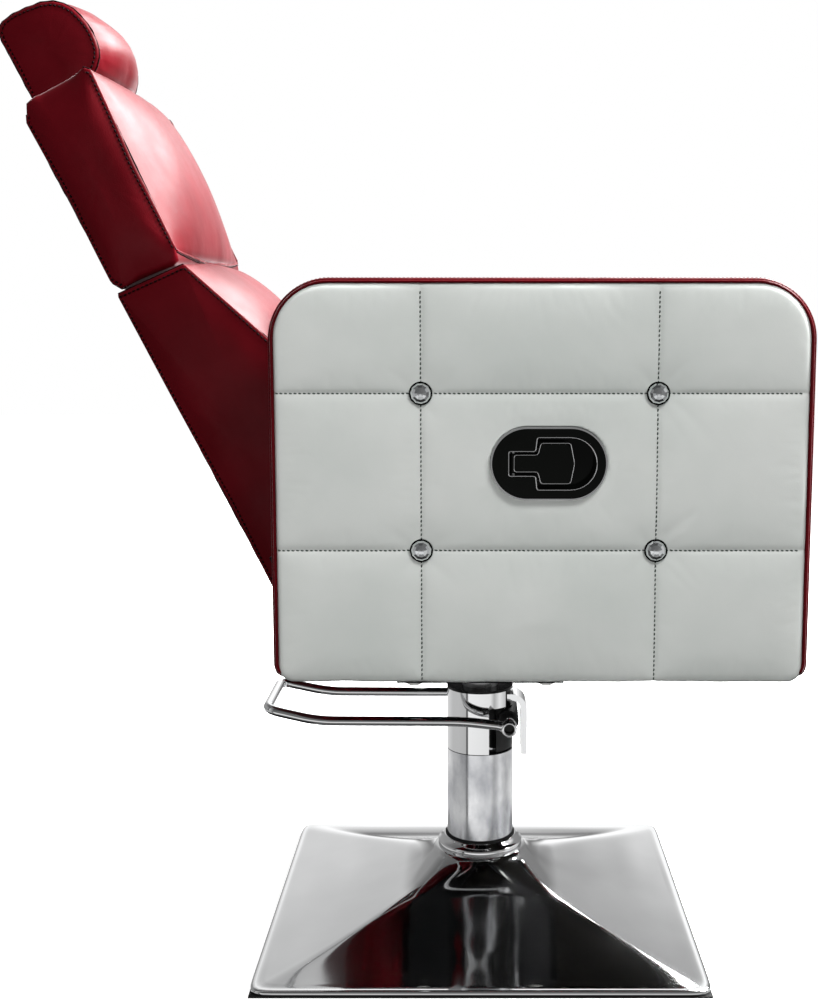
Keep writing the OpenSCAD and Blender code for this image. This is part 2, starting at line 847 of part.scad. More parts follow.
hinge_brackets();
hinge_pins();
strut_cylinder();
strut_bracket();
strut_rod();
color("dimgray") mirror([0, 1, 0]) hinge_plate(false);  // hinge_plate_right
color("dimgray") hinge_plate(true);  // hinge_plate_left
hinge_bolts();
back_lower_box();
back_upper_box();
back_bars();
back_lower_pad();
back_upper_pad();
headrest_sockets();
headrest_posts();
headrest_box();
headrest_pad();
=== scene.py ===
"""Dressed model of the hydraulic barber chair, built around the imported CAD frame. Lengths are in metres."""

import json
import math

import bmesh
import bpy
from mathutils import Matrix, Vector, noise
from mathutils.bvhtree import BVHTree


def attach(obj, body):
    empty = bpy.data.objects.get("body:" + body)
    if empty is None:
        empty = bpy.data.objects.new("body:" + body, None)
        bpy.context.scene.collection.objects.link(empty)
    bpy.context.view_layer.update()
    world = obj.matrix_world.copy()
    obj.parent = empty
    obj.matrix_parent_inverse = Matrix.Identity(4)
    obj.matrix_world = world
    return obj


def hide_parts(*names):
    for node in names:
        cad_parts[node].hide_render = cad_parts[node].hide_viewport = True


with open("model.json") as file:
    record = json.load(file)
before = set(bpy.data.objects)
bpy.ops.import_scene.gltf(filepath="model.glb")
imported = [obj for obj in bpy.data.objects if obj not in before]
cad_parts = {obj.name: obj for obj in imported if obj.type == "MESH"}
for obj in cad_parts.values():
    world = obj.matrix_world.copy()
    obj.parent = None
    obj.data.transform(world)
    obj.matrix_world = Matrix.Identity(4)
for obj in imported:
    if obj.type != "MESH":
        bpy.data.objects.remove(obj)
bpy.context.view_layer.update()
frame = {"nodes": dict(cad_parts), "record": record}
scene = bpy.context.scene

# ---------- places, in metres, repeated from the CAD source ----------

PIVOT = Vector((-0.154, 0.0, 0.445))
TILT = math.radians(27)
ARM_X0, ARM_X1, ARM_Z0, ARM_Z1 = -0.214, 0.336, 0.379, 0.792
ARM_MID_X, ARM_MID_Z = 0.06, 0.58
ARM_IN, ARM_OUT, ARM_RT, ARM_RB = 0.230, 0.326, 0.062, 0.020
SEAM_Y = 0.325
SEAMS_X = (-0.061, 0.178)
SEAMS_Z = (0.517, 0.677)
TUFTS = [(x, z) for x in SEAMS_X for z in SEAMS_Z]
HANDLE = (0.068, 0.607)
HANDLE_HALF, HANDLE_R = 0.022, 0.037
BACK_HALF = 0.200
HEAD_HALF = 0.093
SEAT_HALF = 0.222
PEDAL_AXLE = (0.0356, 0.252)
BASE_RIM, BASE_BEND, BASE_NECK = 0.254, 0.096, 0.0566   # half sides of the base shell

# ---------- sizes of sewing and padding ----------

SEAM_STRIP = 0.0017        # half the width of the leather that a seam holds down
QUILT_MARGIN = 0.0052      # from the arm's outline to the quilt's edge
QUILT_BACK = 0.3165        # where the quilt's rim ends inside the arm
SEWN_EDGE = 0.0022         # radius of a pad's sewn edge
CRISP = 0.004              # an edge of a smaller radius than this is sewn
ACROSS_POWER = 2.4         # how squarely a pad is crowned across its width
HEM_U, HEM_N = 0.4190, 0.016   # the upper pad's hem, in the back's own frame


def clamp(v):
    return min(1.0, max(0.0, v))


def turn(count, start=0.0):
    """Even angles round a full turn."""
    return [2 * math.pi * (k + start) / count for k in range(count)]


def on_back(u, y, n):
    """A point of the back's own frame: u up along it, n out of its front."""
    s, c = math.sin(TILT), math.cos(TILT)
    return PIVOT + Vector((-u * s + n * c, y, u * c + n * s))


# ---------- materials ----------


def material(name, colour, rough, metal=0.0, **more):
    m = bpy.data.materials.new(name)
    m.use_nodes = True
    b = m.node_tree.nodes["Principled BSDF"]
    b.inputs["Base Color"].default_value = (*colour, 1)
    b.inputs["Roughness"].default_value = rough
    b.inputs["Metallic"].default_value = metal
    for k, v in more.items():
        b.inputs[k.replace("_", " ")].default_value = v
    return m


def nodes_of(m):
    t = m.node_tree
    return t, t.nodes["Principled BSDF"]


def texture_node(t, kind, scale, stretch):
    """A texture in the object's own coordinates, stretched along its axes."""
    co = t.nodes.new("ShaderNodeTexCoord")
    mp = t.nodes.new("ShaderNodeMapping")
    mp.inputs["Scale"].default_value = stretch
    n = t.nodes.new(kind)
    n.inputs["Scale"].default_value = scale
    t.links.new(co.outputs["Object"], mp.inputs["Vector"])
    t.links.new(mp.outputs["Vector"], n.inputs["Vector"])
    return n


def noise_node(t, scale, detail=4.0, stretch=(1, 1, 1)):
    n = texture_node(t, "ShaderNodeTexNoise", scale, stretch)
    n.inputs["Detail"].default_value = detail
    return n


def ramp_node(t, source, stops):
    """A colour ramp with (place, colour or grey level) stops."""
    r = t.nodes.new("ShaderNodeValToRGB")
    e = r.color_ramp.elements
    while len(e) < len(stops):
        e.new(0.5)
    for i, (p, c) in enumerate(stops):
        e[i].position = p
        e[i].color = (*c, 1) if isinstance(c, tuple) else (c, c, c, 1)
    t.links.new(source, r.inputs["Fac"])
    return r.outputs["Color"]


def vary_colour(m, scale, dark, light, stretch=(1, 1, 1), detail=4.0):
    t, b = nodes_of(m)
    n = noise_node(t, scale, detail, stretch)
    t.links.new(ramp_node(t, n.outputs["Fac"], [(0.32, dark), (0.68, light)]), b.inputs["Base Color"])


def vary_rough(m, scale, low, high, stretch=(1, 1, 1), detail=5.0):
    t, b = nodes_of(m)
    n = noise_node(t, scale, detail, stretch)
    mr = t.nodes.new("ShaderNodeMapRange")
    mr.inputs["From Min"].default_value = 0.3
    mr.inputs["From Max"].default_value = 0.7
    mr.inputs["To Min"].default_value = low
    mr.inputs["To Max"].default_value = high
    t.links.new(n.outputs["Fac"], mr.inputs["Value"])
    t.links.new(mr.outputs["Result"], b.inputs["Roughness"])


def bump(m, layers):
    """Bump from layers of (kind, scale, strength, distance, stretch), each on top of the last."""
    t, b = nodes_of(m)
    last = None
    for kind, scale, strength, dist, stretch in layers:
        if kind == "cells":
            v = texture_node(t, "ShaderNodeTexVoronoi", scale, stretch)
            v.feature = "DISTANCE_TO_EDGE"
            out = v.outputs["Distance"]
        else:
            out = noise_node(t, scale, 5.0, stretch).outputs["Fac"]
        n = t.nodes.new("ShaderNodeBump")
        n.inputs["Strength"].default_value = strength
        n.inputs["Distance"].default_value = dist
        t.links.new(out, n.inputs["Height"])
        if last:
            t.links.new(last, n.inputs["Normal"])
        last = n.outputs["Normal"]
    t.links.new(last, b.inputs["Normal"])


ONE = (1, 1, 1)
red = material("red_leather", (0.078, 0.0018, 0.0044), 0.36, Specular_IOR_Level=0.06, Sheen_Weight=0.3,
               Sheen_Roughness=0.22, Sheen_Tint=(1, 0.80, 0.82, 1))
vary_colour(red, 9, (0.062, 0.0012, 0.0032), (0.094, 0.0024, 0.0056))
vary_rough(red, 26, 0.30, 0.42)
bump(red, [("cells", 420, 0.16, 0.0006, ONE), ("noise", 24, 0.22, 0.002, ONE)])

white = material("white_leatherette", (0.62, 0.645, 0.62), 0.44, Specular_IOR_Level=0.16)
vary_colour(white, 7, (0.575, 0.605, 0.580), (0.655, 0.675, 0.652))
vary_rough(white, 30, 0.38, 0.50)
bump(white, [("cells", 520, 0.10, 0.0005, ONE), ("noise", 30, 0.16, 0.0016, ONE)])

thread_dark = material("thread_dark_red", (0.005, 0.0006, 0.0010), 0.8, Specular_IOR_Level=0.1)
bump(thread_dark, [("noise", 900, 0.4, 0.0003, ONE)])
thread_grey = material("thread_grey_green", (0.070, 0.084, 0.074), 0.8, Specular_IOR_Level=0.2)
bump(thread_grey, [("noise", 900, 0.4, 0.0003, ONE)])

chrome = material("chrome_plate", (0.86, 0.865, 0.87), 0.05, 1.0)
vary_rough(chrome, 12, 0.03, 0.085)
button_chrome = material("chrome_button", (0.72, 0.74, 0.75), 0.07, 1.0)
vary_rough(button_chrome, 90, 0.04, 0.12)
base_chrome = material("chrome_base", (0.80, 0.805, 0.81), 0.06, 1.0)
vary_rough(base_chrome, 7, 0.035, 0.12)
vary_colour(base_chrome, 5, (0.74, 0.745, 0.75), (0.84, 0.845, 0.85))
satin = material("satin_tube", (0.80, 0.81, 0.82), 0.27, 1.0)
vary_colour(satin, 26, (0.40, 0.41, 0.44), (0.97, 0.975, 0.985), (1, 1, 0.55), 7)
vary_rough(satin, 20, 0.10, 0.22)
bump(satin, [("noise", 260, 0.08, 0.0004, (1, 1, 0.08))])
steel = material("bright_steel", (0.58, 0.585, 0.59), 0.25, 1.0)
vary_rough(steel, 60, 0.20, 0.34)
zinc = material("zinc_plate", (0.52, 0.52, 0.50), 0.34, 1.0)
vary_colour(zinc, 90, (0.46, 0.46, 0.44), (0.57, 0.57, 0.55))
paint = material("black_paint", (0.005, 0.005, 0.0055), 0.5, Specular_IOR_Level=0.08)
bump(paint, [("noise", 320, 0.12, 0.0004, ONE)])
casting = material("black_casting", (0.008, 0.008, 0.008), 0.34, Specular_IOR_Level=0.25)
bump(casting, [("noise", 240, 0.22, 0.0006, ONE)])
gloss = material("black_gloss", (0.0016, 0.002, 0.0016), 0.07, Specular_IOR_Level=0.16)
vary_rough(gloss, 30, 0.06, 0.13)
rubber = material("black_rubber", (0.010, 0.010, 0.010), 0.72, Specular_IOR_Level=0.2)
bump(rubber, [("noise", 500, 0.2, 0.0004, ONE)])
bronze = material("bronze_bush", (0.46, 0.29, 0.12), 0.32, 1.0)
vary_rough(bronze, 80, 0.26, 0.40)
board = material("stained_board", (0.020, 0.017, 0.015), 0.75, Specular_IOR_Level=0.08)
vary_colour(board, 14, (0.004, 0.0035, 0.003), (0.009, 0.0075, 0.006), (1, 12, 12))

BY_SLOT = {
    "chrome": chrome, "satin_steel": steel, "zinc_bolts": zinc, "painted_steel": paint,
    "black_casting": casting, "black_rubber": rubber, "bronze": bronze, "black_gloss": gloss,
    "red_pad": red, "red_cover": red, "red_board": red, "white_quilt": white, "arm_filling": board,
    "plywood": board,
}
BY_NODE = {"outer_tube": satin, "pedal_axle": casting}
for part in frame["record"]["subparts"]:
    ob = frame["nodes"][part["node"]]
    use = BY_NODE.get(part["node"], BY_SLOT[part["material_slot"]])
    if not ob.material_slots:
        ob.data.materials.append(use)
    for s in ob.material_slots:
        s.link = "OBJECT"
        s.material = use

# ---------- mesh helpers ----------


def piece(name, verts, faces, mat, body, smooth=True):
    me = bpy.data.meshes.new(name)
    me.from_pydata([tuple(v) for v in verts], [], faces)
    me.validate()
    bm = bmesh.new()
    bm.from_mesh(me)
    bmesh.ops.recalc_face_normals(bm, faces=bm.faces)
    bm.to_mesh(me)
    bm.free()
    for p in me.polygons:
        p.use_smooth = smooth
    me.materials.append(mat)
    ob = bpy.data.objects.new(name, me)
    scene.collection.objects.link(ob)
    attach(ob, body)
    return ob


def loft(rings, cap_start=True, cap_end=True):
    """Verts and faces of closed rings joined one after the other."""
    n = len(rings[0])
    verts = [p for r in rings for p in r]
    faces = []
    for k in range(len(rings) - 1):
        for i in range(n):
            j = (i + 1) % n
            faces.append((k * n + i, k * n + j, (k + 1) * n + j, (k + 1) * n + i))
    if cap_start:
        faces.append(tuple(range(n - 1, -1, -1)))
    if cap_end:
        faces.append(tuple((len(rings) - 1) * n + i for i in range(n)))
    return verts, faces


def join(verts, faces, more_verts, more_faces):
    """Adds a second mesh to the first."""
    faces += [tuple(i + len(verts) for i in q) for q in more_faces]
    verts += more_verts


def frame_along(points, closed):
    """Tangents of a polyline."""
    n = len(points)
    out = []
    for i in range(n):
        a = points[(i - 1) % n] if closed or i else points[i]
        b = points[(i + 1) % n] if closed or i < n - 1 else points[i]
        out.append((b - a).normalized())
    return out


def tube(name, points, normals, width, height, mat, body, closed=True, sides=8):
    """A rounded strip along points: width across, height out along the normals."""
    rings = []
    for p, t, n in zip(points, frame_along(points, closed), normals):
        side = t.cross(n).normalized()
        rings.append([p + side * (width / 2 * math.cos(a)) + n * (height * math.sin(a)) for a in turn(sides)])
    if closed:
        rings.append(rings[0])
    verts, faces = loft(rings, not closed, not closed)
    return piece(name, verts, faces, mat, body)


def resample(points, normals, step, closed=True):
    """Even points along a polyline, with their normals and tangents."""
    pts = list(points) + ([points[0]] if closed else [])
    nrm = list(normals) + ([normals[0]] if closed else [])
    seg = [(pts[i + 1] - pts[i]).length for i in range(len(pts) - 1)]
    total = sum(seg)
    count = max(2, round(total / step))
    out, i, done = [], 0, 0.0
    for k in range(count):
        d = total * k / count
        while i < len(seg) - 1 and done + seg[i] < d:
            done += seg[i]
            i += 1
        f = (d - done) / seg[i] if seg[i] else 0
        out.append((pts[i].lerp(pts[i + 1], f), nrm[i].lerp(nrm[i + 1], f).normalized(),
                    (pts[i + 1] - pts[i]).normalized()))
    return out


def inflate(ob, pinned, crown, pressure=4.0, slack=0.012, bend=0.6, frames=20):
    """Blows a padded piece up as cloth that is sewn down along its seams, then keeps the result.

    pinned has each vertex's hold, from 0 to 1. The largest move is scaled to crown.
    """
    held = ob.vertex_groups.new(name="seams")
    for i, w in enumerate(pinned):
        if w > 0:
            held.add([i], w, "REPLACE")
    mod = ob.modifiers.new("Cloth", "CLOTH")
    st = mod.settings
    st.quality = 5
    st.mass = 0.3
    st.tension_stiffness = 15
    st.compression_stiffness = 15
    st.shear_stiffness = 6
    st.bending_stiffness = bend
    st.vertex_group_mass = held.name
    st.use_pressure = True
    st.uniform_pressure_force = pressure
    st.shrink_min = -slack
    st.effector_weights.gravity = 0
    mod.collision_settings.use_collision = False
    mod.point_cache.frame_start = 1
    mod.point_cache.frame_end = frames
    for f in range(1, frames + 1):
        scene.frame_set(f)
    blown = ob.evaluated_get(bpy.context.evaluated_depsgraph_get()).data
    moves = [q.co - v.co for q, v in zip(blown.vertices, ob.data.vertices)]
    ob.modifiers.remove(mod)
    ob.vertex_groups.remove(held)
    largest = max(m.length for m in moves)
    for v, m in zip(ob.data.vertices, moves):
        v.co += m * min(1.0, crown / largest)
    scene.frame_set(1)


def stitches(name, rows, mat, body, step=0.0046, length=0.0031, width=0.0009, slant=0.0):
    """Sewing stitches as small rounded bars along each row of (points, normals, closed)."""
    verts, faces = [], []
    for points, normals, closed in rows:
        for p, n, t in resample(points, normals, step, closed):
            side = t.cross(n).normalized()
            d = (t * math.cos(slant) + side * math.sin(slant)).normalized()
            w = d.cross(n).normalized()
            base = len(verts)
            for a, up, wide in ((-0.5, -0.35, 0.6), (-0.25, 0.55, 1), (0.25, 0.55, 1), (0.5, -0.35, 0.6)):
                q = p + d * (a * length) + n * (up * width)
                verts += [q - w * (wide * width / 2), q + w * (wide * width / 2), q - n * (0.5 * width)]
            for k in range(3):
                a, b = base + 3 * k, base + 3 * k + 3
                faces += [(a, a + 1, b + 1, b), (a + 1, a + 2, b + 2, b + 1), (a + 2, a, b, b + 2)]
            faces += [(base, base + 2, base + 1), (base + 9, base + 10, base + 11)]
    return piece(name, verts, faces, mat, body)


def surface_of(ob):
    """A tree of the piece's faces, to cast rays at."""
    me = ob.data
    return BVHTree.FromPolygons([v.co for v in me.vertices], [tuple(f.vertices) for f in me.polygons])


def laid_on(tree, points, sgn, lift):
    """Points moved along Y onto a surface, from outside on side sgn, with the normal of that side."""
    pts = []
    for p in points:
        hit = tree.ray_cast(Vector((p.x, p.y + sgn * 0.06, p.z)), Vector((0, -sgn, 0)))[0]
        if hit:
            pts.append(hit + Vector((0, sgn * lift, 0)))
    return pts, [Vector((0, sgn, 0))] * len(pts)


# ---------- arms ----------


def rounded_outline(d, per_corner=20, per_side=26):
    """The arm's rounded outline drawn in by d, as (x, z, outward x, outward z)."""
    x0, x1, z0, z1 = ARM_X0 + d, ARM_X1 - d, ARM_Z0 + d, ARM_Z1 - d
    rt, rb = max(ARM_RT - d, 0.002), max(ARM_RB - d, 0.002)
    corners = [(x1 - rb, z0 + rb, rb, -90), (x1 - rt, z1 - rt, rt, 0), (x0 + rt, z1 - rt, rt, 90),
               (x0 + rb, z0 + rb, rb, 180)]
    out = []
    for k, (cx, cz, r, a0) in enumerate(corners):
        for i in range(per_corner + 1):
            a = math.radians(a0 + 90 * i / per_corner)
            out.append((cx + r * math.cos(a), cz + r * math.sin(a), math.cos(a), math.sin(a)))
        x, z, out_x, out_z = out[-1]
        nx, nz, nr, na = corners[(k + 1) % 4]
        a = math.radians(na)
        dx, dz = nx + nr * math.cos(a) - x, nz + nr * math.sin(a) - z
        shares = [i / per_side for i in range(1, per_side)]
        out += [(x + dx * f, z + dz * f, out_x, out_z) for f in shares]
    return out


def arm_ring(d, y):
    """The outline drawn in by d. Its front edge falls back under the white leather along the bottom."""
    ring = []
    for x, z, _, down in rounded_outline(d):
        low = clamp((-down - 0.55) / 0.4) * clamp((abs(y) - 0.300) / 0.02)
        ring.append(Vector((x, y - math.copysign(0.0085 * low, y), z + 0.0006 * low)))
    return ring


def arm_wrap(side, name, node):
    """The red band round an arm and its inner face. side is -1 for the right arm."""
    outer, inner = 0.0030, 0.007
    quarter = [math.radians(90 * i / 6) for i in range(7)]
    profile = [(0.0052, ARM_OUT - 0.008), (0.0050, ARM_OUT - 0.0012), (0.0036, ARM_OUT),
               (0.0022, ARM_OUT - 0.0002)]
    profile += [(outer - outer * math.sin(a), ARM_OUT - 0.0032 + outer * math.cos(a)) for a in quarter]
    profile += [(-0.0006, 0.300), (-0.0009, 0.278), (-0.0006, 0.256)]
    profile += [(inner - inner * math.cos(a), ARM_IN + inner - inner * math.sin(a)) for a in quarter]
    profile += [(0.016, ARM_IN - 0.0006), (0.030, ARM_IN - 0.0010)]
    verts, faces = loft([arm_ring(d, side * y) for d, y in profile], False, True)
    ob = piece(name, verts, faces, red, "seat")
    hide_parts(node)


def seam_distance(x, z):
    """Distance from the nearest seam of the quilting."""
    return min(min(abs(x - a) for a in SEAMS_X), min(abs(z - b) for b in SEAMS_Z))


def stadium_distance(x, z):
    """Distance from the rim of the handle's opening, negative inside it."""
    dx = max(abs(x - HANDLE[0]) - HANDLE_HALF, 0.0)
    return math.hypot(dx, z - HANDLE[1]) - HANDLE_R


def quilt_depth(x, z, has_handle, seed, crown):
    """How far the quilting stands out of its seams at (x, z)."""
    ex = (ARM_X0 + 0.005, SEAMS_X[0], SEAMS_X[1], ARM_X1 - 0.005)
    ez = (ARM_Z0 + 0.005, SEAMS_Z[0], SEAMS_Z[1], ARM_Z1 - 0.005)

    def pillow(v, e):
        c = 0 if v < e[1] else 1 if v < e[2] else 2
        t = clamp((v - e[c]) / (e[c + 1] - e[c]))
        return (4 * t * (1 - t)) ** 0.40 if 0 < t < 1 else 0.0

    near = max(math.exp(-((x - a) ** 2 + (z - b) ** 2) / 0.00050) for a, b in TUFTS)
    h = crown * pillow(x, ex) * pillow(z, ez) * (1 - 0.8 * near) - 0.0030 * near
    seam = seam_distance(x, z)
    h -= 0.0008 * math.exp(-(seam / 0.0022) ** 2)
    for a, b in TUFTS:
        r = math.hypot(x - a, z - b)
        if r < 0.07:
            ang = math.atan2(z - b, x - a)
            fold = math.sin(5 * ang + seed + 9 * a + 5 * b) * math.sin(2 * ang) ** 2
            h += 0.0009 * fold * math.exp(-r / 0.020) * min(1.0, r / 0.012)
    wave = noise.noise(Vector((x * 14, seed, z * 14))) * 0.0009
    wave += noise.noise(Vector((x * 42, seed, z * 42))) * 0.00022
    pucker = math.sin((x + z) * 2 * math.pi / 0.0095)
    h += wave + 0.00018 * pucker * math.exp(-(seam / 0.005) ** 2)
    if has_handle:
        s = stadium_distance(x, z)
        h = h * (1 - 0.30 * math.exp(-max(s, 0) / 0.010)) + 0.0006 * math.exp(-((s - 0.010) / 0.008) ** 2)
    return h


def grid_lines(a, b, count, seams):
    """Even lines from a to b, moved so that each seam has one on it and one close on either side."""
    lines = [a + (b - a) * i / count for i in range(count + 1)]
    for s in seams:
        k = round((s - a) / (b - a) * count)
        lines[k - 1:k + 2] = [s - SEAM_STRIP, s, s + SEAM_STRIP]
    return lines


def in_corner(x, z, x0, x1, z0, z1):
    """A point of the quilt's grid drawn into its rounded corners, and how far it lies from the edge."""
    rear, top = x < ARM_MID_X, z > ARM_MID_Z
    r = (ARM_RT if top else ARM_RB) - QUILT_MARGIN
    cx, cz = x0 + r if rear else x1 - r, z1 - r if top else z0 + r
    dx, dz = cx - x if rear else x - cx, z - cz if top else cz - z
    if dx > 0 and dz > 0:
        f = max(dx, dz) / math.hypot(dx, dz)
        return cx + (x - cx) * f, cz + (z - cz) * f, r - max(dx, dz)
    return x, z, min(x - x0, x1 - x, z - z0, z1 - z)


def at_opening(x, z):
    """A point just inside the handle's opening, moved to its rim."""
    ox = min(max(x - HANDLE[0], -HANDLE_HALF), HANDLE_HALF)
    v = Vector((x - HANDLE[0] - ox, z - HANDLE[1])).normalized() * (HANDLE_R + 0.0003)
    return HANDLE[0] + ox + v.x, HANDLE[1] + v.y


def quilt_edges(verts, faces, pinned, side):
    """Walls from the quilt's open edges back into the arm."""
    used = {(a, b) for f in faces for a, b in zip(f, f[1:] + f[:1])}
    back = {}
    for a, b in sorted((a, b) for (a, b) in used if (b, a) not in used):
        for v in (a, b):
            if v not in back:
                back[v] = len(verts)
                verts.append(Vector((verts[v].x, side * QUILT_BACK, verts[v].z)))
                pinned.append(1.0)
        faces.append((b, a, back[a], back[b]))


def arm_panel(side, name, node, has_handle, seed):
    """The white quilted panel on an arm's outer face."""
    nx, nz = 190, 144
    crown = 0.0060
    x0, x1, z0, z1 = ARM_X0 + QUILT_MARGIN, ARM_X1 - QUILT_MARGIN, ARM_Z0 + 0.0004, ARM_Z1 - QUILT_MARGIN
    xs, zs = grid_lines(x0, x1, nx, SEAMS_X), grid_lines(z0, z1, nz, SEAMS_Z)
    verts, keep, pinned = [], [], []
    for gz in zs:
        for gx in xs:
            x, z, edge = in_corner(gx, gz, x0, x1, z0, z1)
            s = stadium_distance(x, z) if has_handle else 1.0
            if -0.0032 < s < 0:
                x, z = at_opening(x, z)
            e = clamp(edge / 0.0075)
            low = max(0.0, 1 - (z - z0) / 0.012)
            roll = 0.0032 - 0.0012 * low
            h = quilt_depth(x, z, has_handle, seed, crown) - roll * (1 - math.sqrt(max(0.0, e * (2 - e))))
            z += low * noise.noise(Vector((x * 26, seed, 3))) * 0.0011
            rim = has_handle and stadium_distance(x, z) < 0.004
            pinned.append(1.0 if seam_distance(x, z) < SEAM_STRIP or edge < 0.0045 or rim else 0.0)
            verts.append(Vector((x, side * (SEAM_Y + h), z)))
            keep.append(s > -0.0032)
    faces = []
    for k in range(nz):
        for i in range(nx):
            a = k * (nx + 1) + i
            f = (a, a + 1, a + nx + 2, a + nx + 1)
            if all(keep[v] for v in f):
                faces.append(f)
    quilt_edges(verts, faces, pinned, side)
    ob = piece(name, verts, faces, white, "seat")
    inflate(ob, pinned, 0.0024, slack=0.003)
    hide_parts(node)
    return ob


def panel_stitches(side, name, panel):
    """Stitches along the quilting's seams, laid on its surface."""
    tree = surface_of(panel)
    y, gap = side * SEAM_Y, 0.0035
    lines = [[Vector((a, y, ARM_Z0 + 0.004 + i * gap)) for i in range(115)] for a in SEAMS_X]
    lines += [[Vector((ARM_X0 + 0.008 + i * gap, y, b)) for i in range(153)] for b in SEAMS_Z]
    rows = [(*laid_on(tree, line, side, 0.0006), False) for line in lines]
    stitches(name, rows, thread_grey, "seat", 0.0047, 0.0033, 0.0014, 0.16)


def tuft_buttons(side, word):
    """Four faceted chrome buttons pulled into the quilting of one arm, each in a dark ring that is painted
    shade for the gap where the leather is pulled in.
    """
    profile = [(0.3218, 0.0104), (0.3250, 0.0108), (0.3268, 0.0104), (0.3286, 0.0088), (0.3299, 0.0062),
               (0.3306, 0.0032), (0.3308, 0.0005)]
    shade_ring_r, shade_ring_y, thick = 0.0111, 0.3258, 0.0009
    verts, faces = [], []
    for a, b in TUFTS:
        rings = [[Vector((a + r * math.cos(t), side * y, b + r * math.sin(t))) for t in turn(11, 0.37)]
                 for y, r in profile]
        join(verts, faces, *loft(rings))
    ob = piece("tuft_button_caps_" + word, verts, faces, button_chrome, "seat", False)
    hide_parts("tuft_buttons_" + word)
    # The dark rings are painted shade: a black gloss ring stands for the shadowed gap round each button where
    # the leather is pulled in.
    verts, faces = [], []
    for a, b in TUFTS:
        rings = []
        for t in turn(28) + [2 * math.pi]:
            out = Vector((math.cos(t), 0, math.sin(t)))
            middle = Vector((a, side * shade_ring_y, b)) + out * shade_ring_r
            rings.append([middle + out * (thick * math.cos(c)) + Vector((0, side * thick * math.sin(c), 0))
                          for c in turn(8)])
        join(verts, faces, *loft(rings, False, False))
    piece("tuft_button_shade_rims_" + word, verts, faces, gloss, "seat")


def edge_stitches(side, name):
    """The fine stitched edge round the red band."""
    rows = []
    for d, y, out in ((0.0012, ARM_OUT - 0.0012, 0.7), (-0.0002, ARM_OUT - 0.0085, 0.0)):
        line = rounded_outline(d)
        cut = next(i for i, q in enumerate(line) if q[3] > -0.6)
        line = [q for q in line[cut:] + line[:cut] if q[3] > -0.6]
        pts = [Vector((x, side * y, z)) for x, z, _, _ in line]
        nrm = [Vector((a, side * out, b)).normalized() for _, _, a, b in line]
        rows.append((pts, nrm, False))
    stitches(name, rows, thread_dark, "seat", 0.0042, 0.0028, 0.0008)


for side, word, handle, seed in ((-1, "right", True, 1.3), (1, "left", False, 4.1)):
    arm_wrap(side, "arm_band_" + word, "arm_wrap_" + word)
    quilt = arm_panel(side, "arm_quilt_" + word, "arm_panel_" + word, handle, seed)
    panel_stitches(side, "arm_quilt_stitches_" + word, quilt)
    tuft_buttons(side, word)
    edge_stitches(side, "arm_edge_stitches_" + word)

# ---------- back pads and headrest ----------


def dense(outline, step):
    """Points every step or so along a closed outline of corners, each with its normal and crown.

    A corner is (u, n, crown in the middle of the side that starts there, crown at the corner itself).
    """
    out = []
    m = len(outline)
    for i in range(m):
        a, b = outline[i], outline[(i + 1) % m]
        d = Vector((b[0] - a[0], b[1] - a[1]))
        count = max(1, round(d.length / step))
        normal = Vector((-d.y, d.x)).normalized()
        shares = [k / count for k in range(count)]
        if count > 2:
            near = 0.0012 / d.length
            shares = [0.0, near] + shares[1:] + [1 - near]
        for f in shares:
            crown = a[2] * (4 * f * (1 - f)) ** 0.5 if 0 < f < 1 else 0.0
            crown += a[3] + (b[3] - a[3]) * f
            out.append((a[0] + d.x * f, a[1] + d.y * f, normal, crown))
    for i in range(len(out)):
        before, after = out[i - 1], out[(i + 1) % len(out)]
        d = Vector((after[0] - before[0], after[1] - before[1]))
        out[i] = (*out[i][:2], Vector((-d.y, d.x)).normalized(), out[i][3])
    return out


def sewn_corners(line, outline):
    """Which points of a line lie at the outline's crisp corners."""
    crisp = []
    for i, c in enumerate(outline):
        a, b = outline[i - 1], outline[(i + 1) % len(outline)]
        d0 = Vector((c[0] - a[0], c[1] - a[1])).normalized()
        d1 = Vector((b[0] - c[0], b[1] - c[1])).normalized()
        if d0.dot(d1) < 0.75:
            crisp.append(c)
    return [any(math.hypot(p[0] - c[0], p[1] - c[1]) < 0.002 for c in crisp) for p in line]


def inside(w, outline):
    """A smooth measure of how far a point lies from all the sides of an outline."""
    total = 0.0
    for i, c in enumerate(outline):
        a = Vector(c[:2])
        side = Vector(outline[(i + 1) % len(outline)][:2]) - a
        t = clamp((w - a).dot(side) / side.length_squared)
        total += max(1e-5, (w - a - side * t).length) ** -3
    return total ** (-1 / 3)


